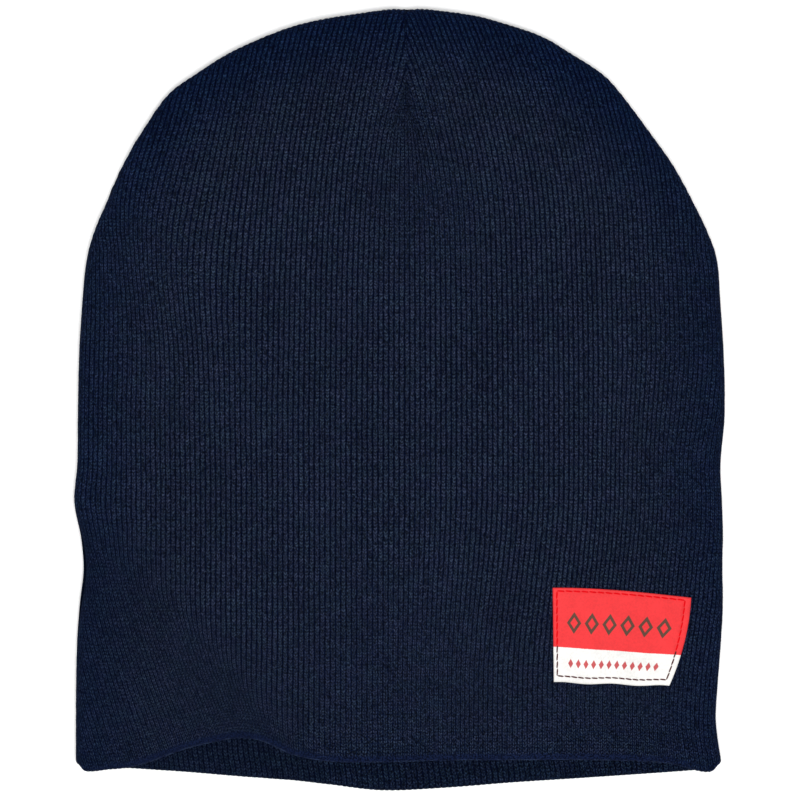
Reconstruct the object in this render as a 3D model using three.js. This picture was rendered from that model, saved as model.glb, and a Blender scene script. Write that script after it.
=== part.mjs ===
// A double-layer rib-knit beanie that lies on its back, modelled in millimetres.
// The cap lies on z = 0 with its crown towards +Y and its mouth towards -Y; +X is the side with the label.
// The knit is one hollow wall: flat behind, folded round at both sides and over the crown, and swollen
// in front.
import * as THREE from "three";
import { mergeVertices } from "three/addons/utils/BufferGeometryUtils.js";

// Driving sizes of the knit.
const WALL = 3; // two layers of rib knit, turned at the hem
const FOLD_RADIUS = 4.5; // outside radius of the side folds and of the crown's edge
const FOLD_SLOPE = THREE.MathUtils.degToRad(14); // slope at which the front leaves the fold
const FOLD_CLEAR = 3 * FOLD_RADIUS; // closer to the edge than this, dents and the mouth's height fade out
const SWELL_REACH = 70; // how far in from the edge the front goes on rising
const HEM_REACH = 70; // how far above the mouth the hem's own height is still felt
const HEM_SETTLE = 50; // how far above the mouth the hem's wave is still felt

// The outline seen from above. along: place towards the crown; left, right: reach to each side.
const OUTLINE = [
  { along: -124, left: 110.4, right: 109.8 },
  { along: -110, left: 110.4, right: 107.9 },
  { along: -96, left: 110.3, right: 108.6 },
  { along: -82, left: 110.0, right: 109.7 },
  { along: -69, left: 109.0, right: 110.3 },
  { along: -58, left: 107.8, right: 110.1 },
  { along: -47, left: 108.7, right: 110.3 },
  { along: -35, left: 111.0, right: 110.0 },
  { along: -22, left: 109.9, right: 109.5 },
  { along: -5, left: 109.7, right: 110.9 },
  { along: 15, left: 109.3, right: 110.6 },
  { along: 34, left: 108.1, right: 109.4 },
  { along: 47, left: 106.8, right: 108.4 },
  { along: 56, left: 104.6, right: 105.6 },
  { along: 67, left: 100.3, right: 100.4 },
  { along: 80, left: 94.6, right: 93.3 },
  { along: 92, left: 87.5, right: 84.8 },
  { along: 104, left: 79.0, right: 75.8 },
  { along: 111, left: 69.6, right: 69.3 },
  { along: 118, left: 58.6, right: 58.6 },
  { along: 124, left: 45.6, right: 48.4 },
  { along: 128.4, left: 32.8, right: 35.5 },
  { along: 131.4, left: 16.6, right: 23.6 },
];
const APEX = { across: 2.5, along: 133.5 };

// The mouth's edge. across: place from side to side; front, rear: where each layer's edge lies along Y;
// open: the front's swell there, as a share of its full swell.
const HEM = [
  { across: -110.5, front: -124.6, rear: -124.6, open: 0.4 },
  { across: -107.5, front: -126.6, rear: -126.6, open: 0.4 },
  { across: -99, front: -125.9, rear: -126.0, open: 0.42 },
  { across: -93, front: -125.3, rear: -126.0, open: 0.45 },
  { across: -85, front: -123.1, rear: -126.5, open: 0.55 },
  { across: -73, front: -118.5, rear: -127.3, open: 0.85 },
  { across: -60, front: -115.2, rear: -128.4, open: 1.05 },
  { across: -54, front: -114.4, rear: -128.9, open: 1.1 },
  { across: -48, front: -115.1, rear: -129.3, open: 1.08 },
  { across: -43, front: -116.8, rear: -129.7, open: 1.0 },
  { across: -36, front: -120.3, rear: -130.2, open: 0.75 },
  { across: -24, front: -122.8, rear: -131.6, open: 0.55 },
  { across: -6, front: -123.1, rear: -133.6, open: 0.5 },
  { across: 16, front: -122.5, rear: -132.7, open: 0.5 },
  { across: 39, front: -122.4, rear: -130.9, open: 0.5 },
  { across: 62, front: -122.4, rear: -129.4, open: 0.5 },
  { across: 90, front: -123.6, rear: -127.5, open: 0.45 },
  { across: 103, front: -126.6, rear: -126.6, open: 0.4 },
  { across: 107, front: -126.6, rear: -126.6, open: 0.4 },
  { across: 110, front: -124.3, rear: -124.3, open: 0.4 },
];

// Soft dents of the front, round ones; a negative depth swells out.
const DENTS = [
  { across: -15, along: 18, radius: 16, depth: 1.2 },
  { across: -51, along: -60, radius: 14, depth: 0.6 },
  { across: 40, along: -50, radius: 20, depth: 0.5 },
  { across: -13, along: 70, radius: 24, depth: -0.6 },
  { across: 10, along: -14, radius: 22, depth: -0.6 },
  { across: 4, along: -72, radius: 22, depth: -0.5 },
];

// Long folds of the front, each a soft groove from one place to another.
const GROOVES = [
  { name: "crown seam", from: [2.5, 134], to: [1.7, 95], radius: 2.6, depth: 0.7 },
  { name: "left pinch", from: [-112, -56], to: [-68, -104], radius: 12, depth: 1.0 },
  { name: "upper left pinch", from: [-98, 74], to: [-60, 62], radius: 9, depth: 0.6 },
];

// The label: its four corners seen from above, and how it lies on the knit.
const LABEL = {
  topLeft: [51.8, -63.7],
  topRight: [99.2, -67.4],
  bottomRight: [91.7, -97.4],
  bottomLeft: [52.3, -95.9],
  bow: 1.5, // how far the right side bows out halfway down
  thickness: 0.9,
  gap: 0.3,
  curl: 1.4, // how far the free lower right corner stands up
  curlFrom: 1.6, // share across plus share down at which the curl starts
  curlTo: 2.2,
};

// The number of steps of each surface.
const EDGE_ROWS = 36; // from the mouth to the apex, on each side
const STRAIGHT_ROWS = 20; // those of them that run straight across to the middle
const SWELL_STEPS = 9;
const SWELL_CROWDING = 1.4; // above 1, those steps crowd towards the fold
const ARC_STEPS = 3;
const BACK_STEPS = 4;
const RIM_STEPS = 4;
const LABEL_STEPS = { across: 12, along: 8 };
const MIDDLE_ACROSS = 1.7; // the line on which the two halves meet
const MIDDLE_END = 96; // where that line ends below the apex
const EDGE_LINE_STEPS = 6; // straight lines for each row of the outline, to measure distances from
const LENGTH_STEPS = 40; // samples for each row of the outline, to measure its length
const SLOPE_STEP = 0.5; // half the span over which the front's slope is taken
const MERGE_WITHIN = 1e-3;

const KNIT = new THREE.MeshStandardMaterial({ color: 0x131b2c, roughness: 0.95, metalness: 0 });
const WOVEN_LABEL = new THREE.MeshStandardMaterial({ color: 0xe03a3c, roughness: 0.8, metalness: 0 });

// A column of a table at a place between its rows, on a smooth curve through them.
function readTable(rows, place, column, at) {
  const last = rows.length - 1;
  const x = Math.min(Math.max(at, rows[0][place]), rows[last][place]);
  const slope = (k) => {
    const a = rows[Math.max(k - 1, 0)];
    const b = rows[Math.min(k + 1, last)];
    return (b[column] - a[column]) / (b[place] - a[place]);
  };
  let k = 0;
  while (k < last - 1 && rows[k + 1][place] < x) k += 1;
  const width = rows[k + 1][place] - rows[k][place];
  const t = (x - rows[k][place]) / width;
  const rise = t * t * (3 - 2 * t);
  return (
    rows[k][column] * (1 - rise) +
    rows[k + 1][column] * rise +
    width * (t * (1 - t) * (1 - t) * slope(k) - t * t * (1 - t) * slope(k + 1))
  );
}

// The outline as one curve: up the left side, over the apex and down the right side.
const edge = new THREE.SplineCurve([
  ...OUTLINE.map((row) => new THREE.Vector2(-row.left, row.along)),
  new THREE.Vector2(APEX.across, APEX.along),
  ...OUTLINE.toReversed().map((row) => new THREE.Vector2(row.right, row.along)),
]);
edge.arcLengthDivisions = LENGTH_STEPS * OUTLINE.length;
const lengths = edge.getLengths();
const apexShare = lengths[edge.arcLengthDivisions / 2] / edge.getLength();

// The outline as short straight lines, run on past the mouth, to measure distances from.
const edgeLine = edge.getPoints(EDGE_LINE_STEPS * OUTLINE.length);
const pastMouth = new THREE.Vector2(0, -2 * FOLD_RADIUS);
edgeLine.unshift(edgeLine[0].clone().add(pastMouth));
edgeLine.push(edgeLine.at(-1).clone().add(pastMouth));

function distanceToLine(across, along, from, to) {
  const dx = to[0] - from[0];
  const dy = to[1] - from[1];
  const t = ((across - from[0]) * dx + (along - from[1]) * dy) / (dx * dx + dy * dy);
  const k = THREE.MathUtils.clamp(t, 0, 1);
  return Math.hypot(across - from[0] - k * dx, along - from[1] - k * dy);
}

function distanceToEdge(across, along) {
  let nearest = Infinity;
  for (let k = 1; k < edgeLine.length; k += 1) {
    const d = distanceToLine(across, along, edgeLine[k - 1].toArray(), edgeLine[k].toArray());
    nearest = Math.min(nearest, d);
  }
  return nearest;
}

// The fold ends where its arc reaches the slope of the front.
const ARC_END = Math.PI / 2 - FOLD_SLOPE;
const ARC_INSET = FOLD_RADIUS * (1 - Math.cos(ARC_END));
const ARC_TOP = FOLD_RADIUS * (1 + Math.sin(ARC_END));
const SWELL = (Math.tan(FOLD_SLOPE) * 2 * SWELL_REACH) / Math.PI;

// The height of the front's outer side: it rises as a quarter sine wave from the fold to the middle,
// less towards the mouth, with the dents and grooves taken off.
function frontHeight(across, along) {
  const inward = Math.max(distanceToEdge(across, along) - ARC_INSET, 0);
  const rise = SWELL * Math.sin((Math.PI / 2) * Math.min(inward / SWELL_REACH, 1));
  const aboveHem = along - readTable(HEM, "across", "front", across);
  const settled = THREE.MathUtils.smoothstep(aboveHem, 0, HEM_REACH);
  const open = THREE.MathUtils.lerp(readTable(HEM, "across", "open", across), 1, settled);
  const clearOfFold = THREE.MathUtils.smoothstep(inward, 0, FOLD_CLEAR);
  const share = THREE.MathUtils.lerp(1, open, clearOfFold);
  let height = ARC_TOP + rise * share;
  for (const dent of DENTS) {
    const away = Math.hypot(across - dent.across, along - dent.along) / dent.radius;
    height -= dent.depth * Math.exp(-away * away) * clearOfFold;
  }
  for (const groove of GROOVES) {
    const away = distanceToLine(across, along, groove.from, groove.to) / groove.radius;
    height -= groove.depth * Math.exp(-away * away);
  }
  return height;
}

// The outward normal of the front, from the slope of its height.
function frontNormal(across, along) {
  const slopeBetween = (ahead, behind) => (frontHeight(...ahead) - frontHeight(...behind)) / (2 * SLOPE_STEP);
  const slopeX = slopeBetween([across + SLOPE_STEP, along], [across - SLOPE_STEP, along]);
  const slopeY = slopeBetween([across, along + SLOPE_STEP], [across, along - SLOPE_STEP]);
  return new THREE.Vector3(-slopeX, -slopeY, 1).normalize();
}

// A row of the cap: where it leaves the edge, the inward direction there, and where it meets the middle.
function rowOf(share, meets) {
  const foot = edge.getPointAt(share);
  const tangent = edge.getTangentAt(share);
  return { foot, inward: new THREE.Vector2(tangent.y, -tangent.x), meets };
}

// The rows of both halves, from the mouth to the apex. Rows of a pair meet the middle at one point.
function rowPairs() {
  const leftShare = (k) => (apexShare * k) / EDGE_ROWS;
  const rightShare = (k) => 1 - ((1 - apexShare) * k) / EDGE_ROWS;
  const straightAlong = (k) => (edge.getPointAt(leftShare(k)).y + edge.getPointAt(rightShare(k)).y) / 2;
  const lastStraight = straightAlong(STRAIGHT_ROWS);
  return Array.from({ length: EDGE_ROWS + 1 }, (_, k) => {
    const fan = Math.max(k - STRAIGHT_ROWS, 0) / (EDGE_ROWS - STRAIGHT_ROWS);
    const along = fan > 0 ? THREE.MathUtils.lerp(lastStraight, MIDDLE_END, fan) : straightAlong(k);
    const meets = new THREE.Vector2(MIDDLE_ACROSS, along);
    return { left: rowOf(leftShare(k), meets), right: rowOf(rightShare(k), meets) };
  });
}

// Slides a place along Y so that the first row lies on the mouth's edge and the rows above it settle.
function onHem(place, layer) {
  const mouth = OUTLINE[0].along;
  const settled = THREE.MathUtils.smoothstep(place.y - mouth, 0, HEM_SETTLE);
  const edgeAlong = readTable(HEM, "across", layer, place.x) + WALL / 2;
  return new THREE.Vector2(place.x, place.y + (edgeAlong - mouth) * (1 - settled));
}

// One section of the outer side, from the middle of the front round the fold to the middle of the back.
// Each point has its place and the outward normal, by which the inner side is set in.
function sectionOf(row) {
  const points = [];
  const arcPoint = (angle, layer) => {
    const inset = FOLD_RADIUS * (1 - Math.cos(angle));
    const plan = onHem(row.foot.clone().addScaledVector(row.inward, inset), layer);
    const out = -Math.cos(angle);
    const normal = new THREE.Vector3(row.inward.x * out, row.inward.y * out, Math.sin(angle));
    points.push({ at: new THREE.Vector3(plan.x, plan.y, FOLD_RADIUS * (1 + Math.sin(angle))), normal });
  };
  const arcEnd = row.foot.clone().addScaledVector(row.inward, ARC_INSET);
  for (let k = SWELL_STEPS; k > 0; k -= 1) {
    const share = Math.pow(k / SWELL_STEPS, SWELL_CROWDING);
    const plan = onHem(arcEnd.clone().lerp(row.meets, share), "front");
    const at = new THREE.Vector3(plan.x, plan.y, frontHeight(plan.x, plan.y));
    points.push({ at, normal: frontNormal(plan.x, plan.y) });
  }
  for (let k = ARC_STEPS; k > 0; k -= 1) arcPoint((ARC_END * k) / ARC_STEPS, "front");
  for (let k = 0; k <= ARC_STEPS; k += 1) arcPoint((-Math.PI / 2) * (k / ARC_STEPS), "rear");
  const backStart = row.foot.clone().addScaledVector(row.inward, FOLD_RADIUS);
  for (let k = 1; k <= BACK_STEPS; k += 1) {
    const plan = onHem(backStart.clone().lerp(row.meets, k / BACK_STEPS), "rear");
    points.push({ at: new THREE.Vector3(plan.x, plan.y, 0), normal: new THREE.Vector3(0, 0, -1) });
  }
  return points;
}

// The rim of the mouth at one point: a half round of the wall's thickness, turned from outside to inside.
function rimPoint(point, step) {
  const turn = (Math.PI * step) / RIM_STEPS;
  return point.at
    .clone()
    .addScaledVector(point.normal, (WALL / 2) * (Math.cos(turn) - 1))
    .add(new THREE.Vector3(0, (-WALL / 2) * Math.sin(turn), 0));
}

// Adds the triangles of a grid of points; flipped turns them round.
function addGrid(corners, grid, flipped) {
  for (let i = 1; i < grid.length; i += 1) {
    for (let j = 1; j < grid[i].length; j += 1) {
      const a = grid[i - 1][j - 1];
      const b = grid[i - 1][j];
      const c = grid[i][j];
      const d = grid[i][j - 1];
      corners.push(...(flipped ? [a, c, b, a, d, c] : [a, b, c, a, c, d]));
    }
  }
}

// One closed mesh from loose triangles, with shared corners merged and collapsed triangles dropped.
function closedGeometry(corners) {
  const loose = new THREE.BufferGeometry().setFromPoints(corners);
  const merged = mergeVertices(loose, MERGE_WITHIN);
  const index = merged.index.array;
  const kept = [];
  for (let k = 0; k < index.length; k += 3) {
    const [a, b, c] = index.subarray(k, k + 3);
    if (a !== b && b !== c && c !== a) kept.push(a, b, c);
  }
  merged.setIndex(kept);
  merged.computeVertexNormals();
  return merged;
}

// The whole knit: on each half the outer side, the rim of the mouth and the inner side, as one grid
// that runs from the apex down to the mouth and back up inside.
function knitShell() {
  const pairs = rowPairs();
  const corners = [];
  for (const side of ["left", "right"]) {
    const sections = pairs.map((pair) => sectionOf(pair[side]));
    const outer = sections.map((section) => section.map((point) => point.at)).reverse();
    const rim = Array.from({ length: RIM_STEPS - 1 }, (_, k) =>
      sections[0].map((point) => rimPoint(point, k + 1)),
    );
    const inner = sections.map((section) =>
      section.map((point) => point.at.clone().addScaledVector(point.normal, -WALL)),
    );
    addGrid(corners, [...outer, ...rim, ...inner], side === "right");
  }
  const mesh = new THREE.Mesh(closedGeometry(corners), KNIT);
  mesh.name = "knit_shell";
  return mesh;
}

// The label: a thin plate between its four corners that follows the front a small gap above it.
function label() {
  const corner = (name) => new THREE.Vector2(...LABEL[name]);
  const layer = (above) =>
    Array.from({ length: LABEL_STEPS.along + 1 }, (_, i) =>
      Array.from({ length: LABEL_STEPS.across + 1 }, (_, j) => {
        const u = j / LABEL_STEPS.across;
        const v = i / LABEL_STEPS.along;
        const top = corner("topLeft").lerp(corner("topRight"), u);
        const plan = top.lerp(corner("bottomLeft").lerp(corner("bottomRight"), u), v);
        plan.x += LABEL.bow * 4 * v * (1 - v) * u ** 3;
        const curl = LABEL.curl * THREE.MathUtils.smoothstep(u + v, LABEL.curlFrom, LABEL.curlTo);
        return new THREE.Vector3(plan.x, plan.y, frontHeight(plan.x, plan.y) + above + curl);
      }),
    );
  const under = layer(LABEL.gap);
  const face = layer(LABEL.gap + LABEL.thickness);
  const corners = [];
  addGrid(corners, face, true);
  addGrid(corners, under, false);
  addGrid(corners, [face[0], under[0]], false);
  addGrid(corners, [face.at(-1), under.at(-1)], true);
  addGrid(corners, [face.map((row) => row[0]), under.map((row) => row[0])], true);
  addGrid(corners, [face.map((row) => row.at(-1)), under.map((row) => row.at(-1))], false);
  const mesh = new THREE.Mesh(closedGeometry(corners), WOVEN_LABEL);
  mesh.name = "label";
  return mesh;
}

const beanie = new THREE.Group();
beanie.add(knitShell(), label());
export default beanie;
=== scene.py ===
"""A rib-knit beanie lying flat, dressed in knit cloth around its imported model."""

import math

import bpy
import numpy as np
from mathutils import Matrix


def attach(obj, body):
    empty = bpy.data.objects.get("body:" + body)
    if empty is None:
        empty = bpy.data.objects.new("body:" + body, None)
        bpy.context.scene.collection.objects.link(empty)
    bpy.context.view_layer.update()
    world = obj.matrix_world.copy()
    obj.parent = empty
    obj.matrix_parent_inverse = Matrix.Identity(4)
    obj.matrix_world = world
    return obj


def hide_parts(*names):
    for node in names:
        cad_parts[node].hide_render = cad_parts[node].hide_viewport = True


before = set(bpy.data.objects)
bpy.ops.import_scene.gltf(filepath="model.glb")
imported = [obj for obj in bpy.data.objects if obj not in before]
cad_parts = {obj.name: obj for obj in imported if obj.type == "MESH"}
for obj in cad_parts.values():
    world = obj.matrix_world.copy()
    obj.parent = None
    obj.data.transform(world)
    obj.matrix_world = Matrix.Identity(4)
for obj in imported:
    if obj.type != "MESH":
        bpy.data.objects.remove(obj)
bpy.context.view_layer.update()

bl_info = {
    "name": "Rib-knit beanie",
    "version": (1, 0, 0),
    "blender": (4, 5, 0),
    "location": "3D View > Sidebar > Beanie",
    "description": "Builds the knit, the label and the stage of a beanie that lies flat",
    "category": "Add Mesh",
}

# Shapes are worked out in millimetres, in the frame's own axes, and made in metres.
MM = 0.001
BODY = "root"
KNIT_NODE = "knit_shell"
LABEL_NODE = "label"


def table(columns, rows):
    """Rows of numbers as one array for each named column."""
    return dict(zip(columns.split(), np.array(rows, float).T))


def records(columns, rows):
    """Each row of a table by itself, with its columns' names."""
    return [dict(zip(columns.split(), row)) for row in rows]


# The outline seen from above: place towards the crown, and reach to each side.
OUTLINE = table("along left right", [
    (-124, 110.4, 109.8),
    (-110, 110.4, 107.9),
    (-96, 110.3, 108.6),
    (-82, 110.0, 109.7),
    (-69, 109.0, 110.3),
    (-58, 107.8, 110.1),
    (-47, 108.7, 110.3),
    (-35, 111.0, 110.0),
    (-22, 109.9, 109.5),
    (-5, 109.7, 110.9),
    (15, 109.3, 110.6),
    (34, 108.1, 109.4),
    (47, 106.8, 108.4),
    (56, 104.6, 105.6),
    (67, 100.3, 100.4),
    (80, 94.6, 93.3),
    (92, 87.5, 84.8),
    (104, 79.0, 75.8),
    (111, 69.6, 69.3),
    (118, 58.6, 58.6),
    (124, 45.6, 48.4),
    (128.4, 32.8, 35.5),
    (131.4, 16.6, 23.6),
])
APEX = (2.5, 133.5)
# Pieces that the smooth line has between each two of these places.
OUTLINE_STEPS = 6

# The mouth's edge: place across, where each layer's edge lies along Y, and the front's share of its swell.
HEM = table("across front rear open", [
    (-110.5, -124.6, -124.6, 0.4),
    (-107.5, -126.6, -126.6, 0.4),
    (-99, -125.9, -126.0, 0.42),
    (-93, -125.3, -126.0, 0.45),
    (-85, -123.1, -126.5, 0.55),
    (-73, -118.5, -127.3, 0.85),
    (-60, -115.2, -128.4, 1.05),
    (-54, -114.4, -128.9, 1.1),
    (-48, -115.1, -129.3, 1.08),
    (-43, -116.8, -129.7, 1.0),
    (-36, -120.3, -130.2, 0.75),
    (-24, -122.8, -131.6, 0.55),
    (-6, -123.1, -133.6, 0.5),
    (16, -122.5, -132.7, 0.5),
    (39, -122.4, -130.9, 0.5),
    (62, -122.4, -129.4, 0.5),
    (90, -123.6, -127.5, 0.45),
    (103, -126.6, -126.6, 0.4),
    (107, -126.6, -126.6, 0.4),
    (110, -124.3, -124.3, 0.4),
])

# Soft round dents of the front; a negative depth swells out.
DENTS = records("across along radius depth", [
    (-15, 18, 16, 1.2),
    (-51, -60, 14, 0.6),
    (40, -50, 20, 0.5),
    (-13, 70, 24, -0.6),
    (10, -14, 22, -0.6),
    (4, -72, 22, -0.5),
])

# Long soft grooves of the front.
GROOVES = records("start end radius depth", [
    ((2.5, 134), (1.7, 95), 2.6, 0.7),
    ((-112, -56), (-68, -104), 12, 1.0),
    ((-98, 74), (-60, 62), 9, 0.6),
])

# How far the darts pull the wales in by each height: at the sides and beside the centre seam.
CROWN = table("along left_side left_seam right_side right_seam", [
    (40, 0.0, 0.0, 0.0, 0.0),
    (54, 0.4, 0.0, 0.2, 0.0),
    (68, 1.2, 0.1, 1.0, 0.3),
    (82, 2.5, 1.0, 2.9, 1.8),
    (95, 4.5, 3.6, 5.8, 5.5),
    (109, 7.1, 9.8, 9.4, 11.0),
    (123, 10.1, 12.8, 14.4, 17.9),
    (136, 13.3, 15.0, 19.4, 25.4),
])

# The wales beside the centre seam are squeezed together before they run into it, this far to each side.
SQUEEZED = (7.5, 10.0)

# The cloth slips sideways in places, in the way of +X on the front and as far the other way on the rear.
# A bow outwards beside the upper left fold, which lies lower further in.
BOW = {"shift": -5.6, "along": 84.0, "slant": 0.85, "spread": 30.0, "full": 28.0, "none": 72.0}
# Draws towards the middle at the right, which grow downwards and towards the fold.
DRAWS = records("shift top bottom start end", [
    (-5.0, -30.0, -98.0, -10.0, 42.0),
    (-3.5, 22.0, -22.0, 55.0, 105.0),
])
# On the front alone, a wedge of leaning wales at the lower left, more of which come round the fold.
WEDGE = {"across": -88.5, "along": -60.0, "lean": 0.42, "crowding": 0.29, "bend": 0.0036, "softness": 1.2}
# Inside the wedge the ribs lie flatter by a share, which sets in between two strengths of its pull.
WEDGE_FLATNESS = 0.48
WEDGE_SETS_IN = (-9.0, 0.0)
# On the rear alone, a lean beside the mouth.
HEM_LEAN = {"shift": 2.2, "top": -114.0, "bottom": -134.0}

# Where the cloth is pulled, its ribs lie flatter by a share.
PULLED = records("across along radius share", [
    (3, -98, 42, 0.68),
    (62, -112, 20, 0.5),
    (80, -121, 30, 0.7),
    (108, 26, 24, 0.4),
    (108, -26, 26, 0.5),
    (-88, 42, 22, 0.25),
    (-62, 2, 40, 0.16),
    (3, 97, 11, 0.7),
    (11, 66, 21, 0.6),
])
# How full the ribs are by how far in from the folds they lie, and at the hem.
FULLNESS = table("inward full", [
    (0, 0.3),
    (3, 0.5),
    (7, 0.72),
    (20, 0.8),
    (45, 1.0),
])
HEM_FULLNESS = 0.3
FULL_FROM_HEM = 14.0

# Towards the folds the knit is painted darker and bluer: painted shade, strongest up the crown where it
# slopes away from the light, with a painted blue sheen. Given are how far in, its share at the sides, and
# where up the crown it sets in fully.
PAINTED_EDGE_SHADE = {"reach": 34.0, "at_sides": 0.5, "start": 50.0, "full": 110.0}

WALL = 3.0
FOLD_RADIUS = 4.5
FOLD_CLEAR = 3 * FOLD_RADIUS
FOLD_SLOPE = math.radians(14)
FRONT_ARC = math.pi / 2 - FOLD_SLOPE
REAR_ARC = math.pi / 2
ARC_INSET = FOLD_RADIUS * (1 - math.cos(FRONT_ARC))
ARC_TOP = FOLD_RADIUS * (1 + math.sin(FRONT_ARC))
SWELL_REACH = 70.0
SWELL = math.tan(FOLD_SLOPE) * 2 * SWELL_REACH / math.pi
HEM_REACH = 70.0
HEM_SETTLE = 50.0
MOUTH = OUTLINE["along"][0]
PAST_MOUTH = 6 * FOLD_RADIUS
MIDDLE = 1.7
SLOPE_STEP = 0.5
# Points closer to each other than this are one place.
SAME_PLACE = 1e-3

# The crown: where the darts start and how softly, where the centre seam starts and is fully sewn, and how
# wide its lean is.
DART_START = 50.0
DART_BLEND = 4.0
SEAM_START = 98.0
SEAM_SEWN = (98.0, 112.0)
LEAN_SPREAD = 16.0

# The knit: wales from the middle to a fold, how wide they are, and how they crowd at the folds.
WALES = 66
TUBE_WALES = 4 * WALES
WALE_WIDTH = 1.7
WALE_CROWDING = 0.044
# Wales beyond the folds, left and right, that the slips may bring round.
FRONT_SPARE = (25, 8)
REAR_SPARE = (5, 2)
# Heights over which the outline's small waves are evened out, and from which share on wales follow them.
EVEN_OUT = (-30.0, -15.0, 0.0, 15.0, 30.0)
EDGE_FOLLOW = 0.75
# Between which downward normals the ribs sink so that they don't stand out below the wall.
UNDERNEATH = (0.2, 1.0)
# Courses are laid to a little past the apex. The inner layer has each one up to this far from the mouth, and
# one in this many beyond.
LAST_COURSE = APEX[1] + 4
LINING_NEAR = 30
LINING_SKIP = 4
# Seeds of the grooves' straying and of the stitches' uneven heights.
SEEDS = (1, 2)
# Mesh columns of a wale: its groove, a shoulder, the crest, and the other shoulder.
WALE_PHASES = (0.0, 0.17, 0.5, 0.83)
V_LEAN = 1.6
SEAM_FADE = 0.9
RIM_STEPS = 4

# The label: corners seen from above, its flat size, and its sewn line as shares of that size.
LABEL_CORNERS = np.array([[(51.8, -63.7), (99.2, -67.4)], [(52.3, -95.9), (91.7, -97.4)]])
LABEL_SIZE = (47.5, 32.2)
LABEL_SEAM = {"left": 0.03, "right": 0.955, "top": 0.035, "bottom": 0.935}
# Points of the label's grid, across and down.
LABEL_STEPS = (131, 93)
# Share across plus share down at which the label's corner starts to curl, and is fully curled.
CURL_RANGE = (1.6, 2.2)
# The label's rounded edge, the dip along its sewn line, its ripples and the wave of its lower edge: heights
# and widths in millimetres, and waves along a side. A power moves the upper edge's swell to the left.
ROUNDED = {"drop": 0.45, "width": 0.8}
DIP = {"depth": 0.22, "width": 0.45}
RIPPLE = {"height": 0.05, "across": 7.3, "down": 4.1, "start": 1.0}
LOWER_WAVE = {"height": 0.25, "across": 2.3, "start": 0.6}
SWELL_SKEW = 0.8
# Rows of lozenges, in millimetres from the upper left corner. Their outline starts at the share in hollow.
LOZENGES = records("start line pitch size count hollow", [
    (4.4, 11.7, 6.4, (5.2, 7.4), 6, 0.52),
    (5.2, 25.5, 3.0, (2.0, 3.2), 12, -1.0),
])

# Looks of the yarn. A scale is in noise cells a metre, and a range is where a smooth step starts and ends.
HUE = {"scale": 190.0, "range": (0.35, 0.65)}
WARM = (1.05, 0.97, 1.03, 1.0)
COOL = (0.94, 1.03, 0.97, 1.0)
BLOTCH = {"scale": 45.0, "detail": 3.0, "roughness": 0.6, "amount": 0.5}
GRAIN = {"scale": 2000.0, "range": (0.36, 0.64), "amount": 0.65, "calmed": 0.35}
# The lip's painted highlight is broken into strands by this noise.
STRANDS = {"scale": 320.0, "range": (0.38, 0.6)}
# The hem's two bands of painted light, a blue sheen where it turns in and a highlight along its lip, in
# courses from the mouth, and how fast they fade out towards the folds.
HEM_PAINTED_SHEEN = {"courses": (-0.3, 1.3), "share": 0.9}
LIP_HIGHLIGHT_COURSES = (-1.35, -0.95)
HEM_FADE = 1.6
LINING_RIBS = {"of_fullness": 0.5, "always": 0.45}

# The stitches' material: noise cells to a wale and to a course, places as shares of both, and how strongly
# each pattern shows.
STITCH = {
    "noise_cells": (1.7, 1.3),
    "edge_detail": 3.0,
    "edge_roughness": 0.7,
    "edge_wander": 0.7,
    "narrowing": 0.09,
    "rib_edge": (0.22, 0.46),
    "leg_contrast": 0.38,
    "leg_level": 0.43,
    "hole_size": (0.14, 0.28),
    "hole_edge": (0.1, 1.6),
    "hole_depth": 0.6,
    "phase_scale": 0.4,
    "phase_wander": 1.1,
    "v_contrast": 0.78,
    "v_level": 0.15,
    "own_contrast": 0.5,
    "own_level": 0.7,
}

# The label's and the thread's materials: the weave's spacing in millimetres, the frayed edge between its two
# fields, and how much each pattern varies the tone.
WEAVE = {"across": 0.42, "down": 0.3, "tone": 0.16}
FRAY = {"scale": 2500.0, "amount": 0.3, "range": (0.05, 0.25)}
WIDE_TONE = {"scale": 160.0, "detail": 3.0, "amount": 0.3}
FINE_TONE = {"scale": 1400.0, "amount": 0.32}
THREAD_TONE = {"scale": 3000.0, "amount": 0.5}
FIGURES_RAISED = 0.8

# One stitch of thread: its mesh, and how far its middle lies above the label as a part of its width.
THREAD_RINGS = 6
THREAD_SIDES = 6
THREAD_LIFT = 1 / 7

# The stage, in metres but for the camera's place, which is in millimetres.
FLOOR_REACH = 4.0
LIGHTS = records("name place size", [
    ("key", (0.1, -0.35, 2.0), 0.8),
    ("fill", (0, 0.1, 2.2), 2.4),
])
EYE = (0.17, -0.17)


def number(name, description, default, **more):
    """A setting that holds a number, in the unit that its description names."""
    return bpy.props.FloatProperty(name=name, description=description, default=default, **more)


def colour(name, description, *rgb):
    """A setting that holds a colour."""
    return bpy.props.FloatVectorProperty(
        name=name, description=description, subtype="COLOR", size=4, default=(*rgb, 1.0))


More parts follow.
